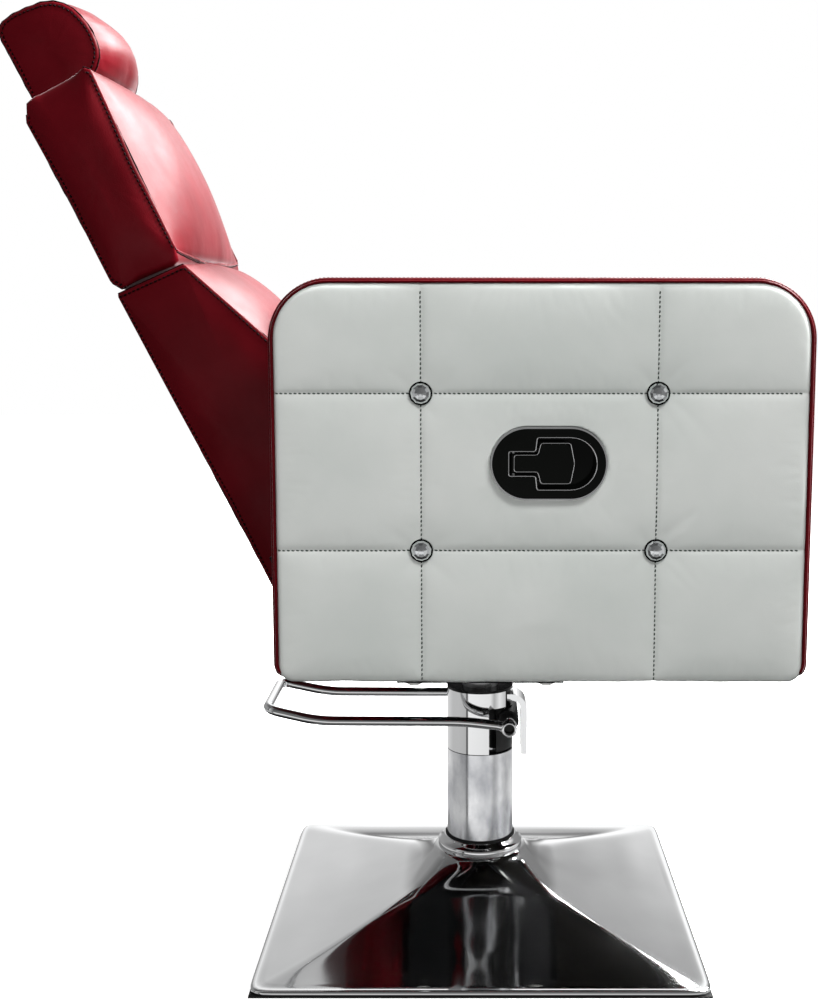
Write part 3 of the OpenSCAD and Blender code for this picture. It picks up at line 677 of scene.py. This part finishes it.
def upholstered(name, outline, half, body, replaced, place, swell, seed, step=0.006, bow=None, puff_up=0.003,
                soft=None):
    """A padded block: its side outline, in the corners that dense() takes, goes across Y and is blown up.

    bow gives how far a point of the outline moves in u at the middle of the pad, and soft the radius of its
    edge. It also gives the outline's points and their centre.
    """
    across = 40
    line = dense(outline, step)
    centre = Vector((sum(p[0] for p in line) / len(line), sum(p[1] for p in line) / len(line)))
    flat = [Vector((p[0], p[1])) for p in line]
    corner = sewn_corners(line, outline)
    edge = [soft(q.x, q.y) if soft else SEWN_EDGE for q in flat]
    rings, pinned = [], []

    def drawn_in(w, inset):
        v = centre - w
        return w + v.normalized() * min(inset, v.length * 0.98)

    def ring(sgn, rolled, share, across_share, held):
        """rolled goes from 0, where the edge meets the side face, to 1, where it meets the front."""
        r = []
        for q, p, c, e in zip(flat, line, corner, edge):
            w = q + p[2] * (p[3] * share)
            w = w + p[2] * (noise.noise(Vector((q.x * 9 + seed, across_share * 2, q.y * 9))) * 0.0014 * share)
            if bow:
                w.x += bow(q.x, q.y) * share
            t = math.pi / 2 * rolled
            w = drawn_in(w, e * (1 - math.sin(t)))
            y = across_share * (half - e) + sgn * e * math.cos(t)
            r.append(place(w.x, y, w.y))
            pinned.append(1.0 if c or (held and e < CRISP) else 0.0)
        return r

    def cap(sgn):
        caps = []
        for f in (0.93, 0.84, 0.72, 0.58, 0.43, 0.28, 0.12):
            r = []
            for q, e in zip(flat, edge):
                w = centre + (drawn_in(q, e) - centre) * f
                puff = swell * (1 - math.exp(-inside(w, outline) / 0.010)) * (1 - f ** 6)
                dent = noise.noise(Vector((w.x * 11 + seed, sgn * 3.0, w.y * 11))) * 0.0011
                r.append(place(w.x, sgn * (half + puff + dent * (1 - f)), w.y))
            caps.append(r)
        return caps

    for sgn in (-1, 1):
        edges = [ring(sgn, k / 4, 0.0, sgn, True) for k in range(5)]
        held = pinned[-5 * len(flat):]
        del pinned[-5 * len(flat):]
        faces_in = cap(sgn)
        if sgn < 0:
            rings += list(reversed(faces_in)) + edges
            pinned += [0.0] * (len(faces_in) * len(flat)) + held
            for i in range(1, across):
                s = -math.cos(math.pi * i / across)
                rings.append(ring(1, 1.0, 1 - abs(s) ** ACROSS_POWER, s, False))
        else:
            rings += list(reversed(edges)) + faces_in
            for k in range(4, -1, -1):
                pinned += held[k * len(flat):(k + 1) * len(flat)]
            pinned += [0.0] * (len(faces_in) * len(flat))
    verts, faces = loft(rings)
    ob = piece(name, verts, faces, red, body)
    inflate(ob, pinned, puff_up, slack=0.006, bend=0.4, frames=18)
    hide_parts(*replaced)
    return ob, flat, centre


def sewn_runs(flat, soft):
    """The parts of the outline that have a sewn edge, each with whether it is closed."""
    sharp = [not soft or soft(q.x, q.y) < CRISP for q in flat]
    if all(sharp):
        return [(flat, True)]
    m = len(flat)
    start = next(i for i in range(m) if sharp[i] and not sharp[i - 1])
    runs, run = [], []
    for k in range(m):
        if sharp[(start + k) % m]:
            run.append(flat[(start + k) % m])
        else:
            if len(run) > 3:
                runs.append((run, False))
            run = []
    return runs + [(run, False)] if len(run) > 3 else runs


def seam_rows(name, pad, flat, centre, half, body, place, soft):
    """A row of stitches on both side faces, drawn in from the sewn edge and laid on the pad's surface."""
    offset = 0.0047
    rows = []
    tree = surface_of(pad)
    for sgn in (-1, 1):
        for run, closed in sewn_runs(flat, soft):
            inner = [q + (centre - q).normalized() * offset for q in run]
            rows.append((*laid_on(tree, [place(w.x, sgn * half, w.y) for w in inner], sgn, 0.0003), closed))
    stitches(name, rows, thread_dark, body, 0.0052, 0.0043, 0.0017)


def welt(name, flat, centre, half, body, place, soft):
    """A sewn strip along both side edges, with the dark gathered seam on its outer side."""
    for sgn, word in ((-1, "right"), (1, "left")):
        for part, (run, closed) in enumerate(sewn_runs(flat, soft)):
            pts, nrm, crease = [], [], []
            for q in run:
                v = (centre - q).normalized()
                w = q + v * 0.0026
                pts.append(place(w.x, sgn * (half - 0.0002), w.y))
                o = place(-v.x, 0, -v.y) - place(0, 0, 0)
                nrm.append((o.normalized() * 0.45 + Vector((0, sgn, 0)) * 0.89).normalized())
                wave = noise.noise(Vector((q.x * 90, sgn, q.y * 90))) * 0.0007
                w = q - v * (0.0001 + wave)
                crease.append(place(w.x, sgn * (half - 0.0018 + wave), w.y))
            tail = word + ("_" + str(part + 1) if part else "")
            for label, line, width, mat in (("_", pts, 0.0048, red), ("_seam_", crease, 0.0017, thread_dark)):
                tube(name + label + tail, line, nrm, width, 0.0009, mat, body, closed)


# Side outlines of the pads in the back's own frame, in the corners that dense() takes
UPPER = [(0.408, -0.056, 0.0, 0.0), (0.4085, -0.034, 0.0, 0.0), (0.4065, -0.010, 0.0, 0.0),
         (0.4050, 0.0045, 0.0, 0.0), (0.4075, 0.0125, 0.0, 0.0), (0.4190, 0.0160, 0.026, 0.0),
         (0.6262, 0.0250, 0.0, 0.0), (0.6308, 0.0205, 0.0, 0.0), (0.6305, -0.042, 0.0, 0.0),
         (0.6265, -0.053, 0.0, 0.0), (0.610, -0.061, 0.0, 0.0), (0.418, -0.062, 0.0, 0.0)]
LOWER = [(0.4056, -0.062, 0.001, 0.0), (0.4014, 0.0155, 0.020, 0.0), (0.289, 0.060, 0.004, 0.0),
         (0.0, 0.071, 0.0, 0.0)]
LOWER += [(0.072 * math.sin(math.radians(a)), 0.072 * math.cos(math.radians(a)), 0.0, 0.0)
          for a in range(-10, -158, -12)]
HEAD = [(0.6340, -0.060, 0, 0), (0.6360, -0.030, 0, 0.002), (0.6400, -0.010, 0, 0.004),
        (0.6455, 0.004, 0, 0.007), (0.6540, 0.0165, 0, 0.010), (0.6620, 0.0240, 0, 0.012),
        (0.6700, 0.0280, 0, 0.0135), (0.6795, 0.0300, 0, 0.0145), (0.6900, 0.0308, 0, 0.0145),
        (0.7000, 0.0300, 0, 0.0135), (0.7105, 0.0275, 0, 0.0115), (0.7220, 0.0235, 0, 0.009),
        (0.7320, 0.0165, 0, 0.007), (0.7396, 0.0070, 0, 0.006), (0.7447, -0.0063, 0, 0.005),
        (0.7473, -0.024, 0, 0.004), (0.7478, -0.0395, 0, 0.003), (0.7460, -0.055, 0, 0.001),
        (0.7400, -0.0635, 0, 0), (0.7280, -0.066, 0, 0), (0.6440, -0.066, 0, 0)]


def flip(outline):
    """The outline in the direction in which its normals, to the left of the path, point outwards."""
    area = sum(a[0] * b[1] - b[0] * a[1] for a, b in zip(outline, outline[1:] + outline[:1]))
    if area <= 0:
        return outline
    back = outline[:1] + outline[:0:-1]
    return [(*a[:2], b[2], a[3]) for a, b in zip(back, back[1:] + back[:1])]


upper = flip(UPPER)
lower = flip(LOWER)
head = flip(HEAD)


def bow_upper(u, n):
    """How far the upper pad's top edge rises and its bottom edge sinks at the middle."""
    front = clamp((n + 0.056) / 0.072)
    top = clamp((u - 0.56) / 0.065) ** 2
    bottom = clamp((0.47 - u) / 0.050) ** 2
    if u < 0.4185:
        return -0.0090 * front * max(0.0, (u - 0.4050) / 0.0135) ** 2
    return 0.0035 * top - (0.0015 + 0.0075 * front) * bottom


def bow_lower(u, n):
    """How far the lower pad's top edge rises at the middle."""
    return 0.0032 * clamp((u - 0.35) / 0.05) ** 2


def soft_upper(u, n):
    """Radius of the upper pad's side edges, which roll over into its top and underside without a seam."""
    top = clamp((u - 0.606) / 0.018) * clamp((0.020 - n) / 0.016)
    under = clamp((0.4165 - u) / 0.006) * clamp((n + 0.054) / 0.02)
    return SEWN_EDGE + 0.0120 * top * min(1.0, max(0.25, (n + 0.056) / 0.02)) + 0.0050 * under


pads = []
for name, outline, half, body, swell, seed, more in (
        ("back_upper", upper, BACK_HALF, "backrest", 0.008, 2.0, {"bow": bow_upper, "soft": soft_upper}),
        ("back_lower", lower, BACK_HALF, "backrest", 0.007, 5.0, {"bow": bow_lower}),
        ("headrest", head, HEAD_HALF, "headrest", 0.006, 8.0, {"step": 0.004, "puff_up": 0.002})):
    nodes = (name + "_pad", name + "_box")
    made = upholstered(name, outline, half, body, nodes, on_back, swell, seed, **more)
    pads.append((name, *made, half, body, more.get("soft")))
for name, pad, flat, centre, half, body, soft in pads:
    welt(name + "_welt", flat, centre, half, body, on_back, soft)
    seam_rows(name + "_stitches", pad, flat, centre, half, body, on_back, soft)

tree = surface_of(pads[0][1])
away = on_back(0, 0, 1) - on_back(0, 0, 0)
for word, drop, width, mat in (("", 0.0, 0.0030, red), ("_seam", 0.0022, 0.0012, thread_dark)):
    pts, nrm = [], []
    for i in range(61):
        y = BACK_HALF * (-0.985 + 1.97 * i / 60)
        u = HEM_U - drop + bow_upper(HEM_U, HEM_N) * (1 - abs(y / BACK_HALF) ** ACROSS_POWER)
        hit, face_normal, _, _ = tree.ray_cast(on_back(u, y, 0.12), -away)
        if hit:
            pts.append(hit - away * 0.0002)
            nrm.append(face_normal)
    tube("back_upper_hem" + word, pts, nrm, width, 0.0012, mat, "backrest", False)

# ---------- seat cushion ----------


def upright(u, y, n):
    return Vector((u, y, n))


seat_line = [(-0.070, 0.417), (0.306, 0.417), (0.318, 0.423), (0.322, 0.434), (0.322, 0.470)]
seat_line += [(0.284 + 0.038 * math.cos(math.radians(a)), 0.474 + 0.038 * math.sin(math.radians(a)))
              for a in range(0, 90, 10)]
seat_line += [(0.280, 0.512), (-0.056, 0.512), (-0.067, 0.506), (-0.070, 0.496)]
seat_line = flip([(u, n, 0.014 if u == 0.280 else 0.0, 0.0) for u, n in seat_line])
_, flat, centre = upholstered("seat_cushion_cover", seat_line, SEAT_HALF, "seat", ("seat_cushion",), upright,
                              0.0062, 11.0, step=0.008, puff_up=0.002)
welt("seat_welt", flat, centre, SEAT_HALF, "seat", upright, None)

# ---------- base shell ----------


def base_height(g):
    """Height of the base shell at half side g, on two hollow arcs."""
    if g >= BASE_RIM:
        return 0.008
    if g >= BASE_BEND:
        f = (BASE_RIM - g) / 0.158
        return 0.008 + 0.040 * f - 4 * 0.004 * f * (1 - f)
    f = (BASE_BEND - g) / 0.0395
    return 0.048 + 0.032 * f - 4 * 0.0043 * f * (1 - f)


def base_ring(g, z):
    """The base shell's outline at half side g: round at the column, square at the rim, slightly uneven."""
    p = 2.0 + 34.0 * clamp((g - 0.058) / 0.10) ** 1.6
    out = []
    for a in turn(288, 0.5):
        c, s = math.cos(a), math.sin(a)
        r = g / (abs(c) ** p + abs(s) ** p) ** (1 / p)
        wob = noise.noise(Vector((c * 2.2, s * 2.2, g * 22))) * 0.0003
        out.append(Vector((r * c, r * s, z + (wob if 0.06 < g < 0.25 else 0))))
    return out


base_profile = [(0.2500, 0.0022), (0.2592, 0.0022), (0.2599, 0.0034), (0.2599, 0.0062), (0.2590, 0.0076),
                (0.2572, 0.0082), (0.2550, 0.0080)]
for i in range(1, 61):
    g = BASE_RIM + (BASE_NECK - BASE_RIM) * (i / 60)
    base_profile.append((g, base_height(g)))
base_profile.append((0.0445, 0.0800))
verts, faces = loft([base_ring(g, h) for g, h in base_profile], False, False)
ob = piece("base_cover", verts, faces, base_chrome, "base")
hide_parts("base_shell")

# ---------- collar at the tube's foot ----------

collar = [(0.0437, 0.0795), (0.0526, 0.0795), (0.0533, 0.0800), (0.0536, 0.0808), (0.0536, 0.0868),
          (0.0533, 0.0878), (0.0525, 0.0885), (0.0512, 0.0890), (0.0478, 0.0925), (0.0466, 0.0940),
          (0.0456, 0.0950), (0.0445, 0.0954), (0.0437, 0.0953)]
rings = [[Vector((r * math.cos(a), r * math.sin(a), h)) for a in turn(128)] for r, h in collar]
verts, faces = loft(rings, False, False)
ob = piece("collar_shoulder", verts, faces, chrome, "base")
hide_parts("collar_ring")

# ---------- pedal ----------


def bent_path(points, radii, steps=9):
    """A path through points in space, with each inner corner rounded by its radius."""
    out = [points[0]]
    for a, b, c, r in zip(points, points[1:], points[2:], radii):
        d0, d1 = (a - b).normalized(), (c - b).normalized()
        s, e = b + d0 * r, b + d1 * r
        for k in range(steps + 1):
            f = k / steps
            out.append(s.lerp(b, f).lerp(b.lerp(e, f), f))
    out.append(points[-1])
    return out


def round_tube(points, radius, sides=20):
    """Rings of a round bar along a path, turned as little as possible from ring to ring."""
    rings = []
    up = Vector((0, 0, 1))
    for p, t in zip(points, frame_along(points, False)):
        side = t.cross(up).normalized()
        up = side.cross(t).normalized()
        rings.append([p + (side * math.cos(a) + up * math.sin(a)) * radius for a in turn(sides)])
    return rings


def turned_ring(x, z, profile, sides=40):
    """A ring turned about a line along Y at (x, z), from a closed profile of (y, radius)."""
    rings = [[Vector((x + r * math.cos(a), y, z + r * math.sin(a))) for a in turn(sides)]
             for y, r in profile + profile[:1]]
    return loft(rings, False, False)


half_path = [Vector((0.0286, 0.068, 0.254)), Vector((0.022, 0.068, 0.256)), Vector((-0.020, 0.068, 0.261)),
             Vector((-0.200, 0.068, 0.262)), Vector((-0.262, 0.066, 0.276))]
whole = half_path + [Vector((v.x, -v.y, v.z)) for v in reversed(half_path)]
bends = [0.003, 0.018, 0.022, 0.017, 0.017, 0.022, 0.018, 0.003]
verts, faces = loft(round_tube(bent_path(whole, bends), 0.006))
hub = [(0.038, 0.0062), (0.038, 0.0086), (0.0389, 0.0095), (0.0731, 0.0095), (0.0740, 0.0086),
       (0.0740, 0.0068), (0.0732, 0.0062)]
for sgn in (-1, 1):
    join(verts, faces, *turned_ring(*PEDAL_AXLE, [(sgn * y, r) for y, r in hub]))
ob = piece("pedal_rod", verts, faces, chrome, "pedal")
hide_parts("pedal_bar")

# ---------- painted highlights on the recliner handle ---


def handle_path(points, r, y):
    """A closed path through corners in (x, z), each rounded by r."""
    out = []
    m = len(points)
    for i in range(m):
        a, b, c = (Vector(points[(i + k) % m]) for k in (-1, 0, 1))
        d0, d1 = (a - b).normalized(), (c - b).normalized()
        s, e = b + d0 * r, b + d1 * r
        for k in range(7):
            f = k / 6
            q = s.lerp(b, f).lerp(b.lerp(e, f), f)
            out.append(Vector((q.x, y, q.y)))
    return out


def highlight_bead(name, corners, r, y, width, body):
    """A thin chrome bead round the handle's recess or its paddle: a painted highlight standing for the light
    that the black edge's bevel catches.
    """
    line = handle_path(corners, r, y)
    tube(name, line, [Vector((0, -1, 0))] * len(line), width, 0.0006, chrome, body)


recess = [(0.0275, 0.5945), (0.0545, 0.5945), (0.0560, 0.5805), (0.0900, 0.5805)]
recess += [(0.090 + 0.0265 * math.cos(math.radians(a)), 0.607 + 0.0265 * math.sin(math.radians(a)))
           for a in range(-75, 90, 15)]
recess += [(0.0900, 0.6335), (0.0560, 0.6335), (0.0545, 0.6195), (0.0275, 0.6195)]
# Painted highlights: chrome beads along the edges of the recess and of the paddle.
highlight_bead("handle_recess_highlight_bead", recess, 0.0025, -0.3362, 0.0011, "seat")
paddle = [(0.0330, 0.5985), (0.0570, 0.5985), (0.0600, 0.5865), (0.0900, 0.5865), (0.0940, 0.6070),
          (0.0900, 0.6275), (0.0600, 0.6275), (0.0570, 0.6155), (0.0330, 0.6155)]
highlight_bead("handle_paddle_highlight_bead", paddle, 0.003, -0.3322, 0.0010, "handle")

# ---------- studio ----------

floor = bpy.data.meshes.new("floor")
floor.from_pydata([(-9, -9, 0), (9, -9, 0), (9, 9, 0), (-9, 9, 0)], [], [(0, 1, 2, 3)])
floor_ob = bpy.data.objects.new("floor", floor)
floor.materials.append(material("floor_paper", (0.80, 0.80, 0.80), 0.9, Emission_Color=(1, 1, 1, 1),
                                Emission_Strength=0.70))
scene.collection.objects.link(floor_ob)
floor_ob.visible_diffuse = False
floor_ob.visible_glossy = False

world = bpy.data.worlds.new("studio")
scene.world = world
world.use_nodes = True
wt = world.node_tree
wt.nodes.clear()


def world_node(kind, *inputs, **settings):
    n = wt.nodes.new(kind)
    for k, v in settings.items():
        setattr(n, k, v)
    for i, v in enumerate(inputs):
        if isinstance(v, bpy.types.NodeSocket):
            wt.links.new(v, n.inputs[i])
        elif v is not None:
            n.inputs[i].default_value = v
    return n


def times(a, b):
    """Two colours multiplied."""
    n = world_node("ShaderNodeMix", 1.0, data_type="RGBA", blend_type="MULTIPLY")
    wt.links.new(a, n.inputs[6])
    wt.links.new(b, n.inputs[7])
    return n.outputs[2]


# What shiny surfaces see: walls by compass direction, where 0 and 1 are -Y, 0.25 is -X, 0.5 is +Y and 0.75
# is +X, with a ceiling above them and the pale floor below the horizon
view = world_node("ShaderNodeSeparateXYZ", wt.nodes.new("ShaderNodeTexCoord").outputs["Generated"])
x, y, z = view.outputs
around = world_node("ShaderNodeMath", x, y, operation="ARCTAN2").outputs[0]
around = world_node("ShaderNodeMapRange", around, -math.pi, math.pi, 0.0, 1.0).outputs[0]
height = world_node("ShaderNodeMapRange", z, -1.0, 1.0, 0.0, 1.0).outputs[0]
walls = ramp_node(wt, around, [
    (0.00, 0.16), (0.10, 0.12), (0.17, 0.50), (0.185, 0.95), (0.195, 0.06), (0.21, 0.06), (0.22, 0.30),
    (0.38, 0.30), (0.43, 0.34), (0.465, 0.8), (0.48, 1.2), (0.53, 1.2), (0.545, 0.5), (0.565, 0.25),
    (0.64, 0.28), (0.68, 0.90), (0.78, 1.00), (0.80, 0.15), (0.82, 0.15), (0.835, 0.70), (0.88, 0.35),
    (0.93, 0.20), (1.00, 0.16)])
ceiling = ramp_node(wt, height, [(0.50, 1.0), (0.75, 1.0), (0.85, 0.55), (0.93, 0.40), (1.0, 1.2)])
ground = ramp_node(wt, height, [
    (0.0, 0.03), (0.12, 0.04), (0.20, 0.25), (0.29, 0.78), (0.385, 0.95), (0.43, 0.30), (0.5, 0.16)])
patches = ramp_node(wt, around, [
    (0.0, 1.0), (0.115, 1.05), (0.122, 0.08), (0.134, 0.08), (0.14, 0.55), (0.22, 0.60), (0.30, 0.6),
    (0.45, 0.9), (0.60, 0.9), (0.72, 0.6), (0.80, 0.95), (0.86, 0.5), (0.90, 0.95), (1.0, 1.0)])
below = times(patches, ground)
above = times(walls, ceiling)
horizon = world_node("ShaderNodeMapRange", height, 0.45, 0.52, 0.0, 1.0).outputs[0]
both = world_node("ShaderNodeMix", data_type="RGBA")
wt.links.new(horizon, both.inputs[0])
wt.links.new(below, both.inputs[6])
wt.links.new(above, both.inputs[7])
shiny = world_node("ShaderNodeBackground", both.outputs[2], 1.0)
sky = ramp_node(wt, height, [(0.0, 0.03), (0.45, 0.04), (0.55, 0.5), (1.0, 0.9)])
ambient = world_node("ShaderNodeBackground", sky, 0.42)
white_wall = world_node("ShaderNodeBackground", (1, 1, 1, 1), 1.0)
path = wt.nodes.new("ShaderNodeLightPath")
mixed = ambient.outputs[0]
for ray, seen in (("Is Glossy Ray", shiny), ("Is Camera Ray", white_wall)):
    mixed = world_node("ShaderNodeMixShader", path.outputs[ray], mixed, seen.outputs[0]).outputs[0]
world_node("ShaderNodeOutputWorld", mixed)


def lamp(name, place, target, size, power, mirrored, diffuse=True):
    data = bpy.data.lights.new(name, "AREA")
    data.shape = "RECTANGLE"
    data.size, data.size_y = size
    data.energy = power
    ob = bpy.data.objects.new(name, data)
    ob.location = place
    ob.rotation_euler = (Vector(target) - Vector(place)).to_track_quat("-Z", "Y").to_euler()
    ob.visible_glossy = mirrored
    ob.visible_diffuse = diffuse
    scene.collection.objects.link(ob)


lamp("key_front", (2.1, 0.5, 3.1), (-0.25, 0.0, 0.8), (1.4, 1.4), 860, True)
lamp("key_back", (0.9, 1.9, 2.6), (-0.25, 0.0, 0.8), (1.6, 1.6), 190, True, False)
lamp("left_side", (-0.4, 2.8, 2.2), (0.0, 0.3, 0.6), (1.5, 1.2), 16, False)
lamp("key_side", (1.1, -2.4, 2.9), (0.0, -0.3, 0.6), (1.5, 1.2), 62, False)
lamp("fill_side", (-0.6, -3.0, 0.5), (0.05, -0.3, 0.5), (1.4, 0.8), 27, False)

cam_data = bpy.data.cameras.new("camera")
cam = bpy.data.objects.new("camera", cam_data)
scene.collection.objects.link(cam)
cam.location = (-0.0059, -1.729, 0.7541)
cam.rotation_euler = (math.radians(90 - 7.51), 0, 0)
cam_data.lens = 50.23
cam_data.sensor_width = 36
cam_data.shift_x = -0.0664
cam_data.clip_start = 0.05
scene.camera = cam
scene.view_settings.view_transform = "Standard"
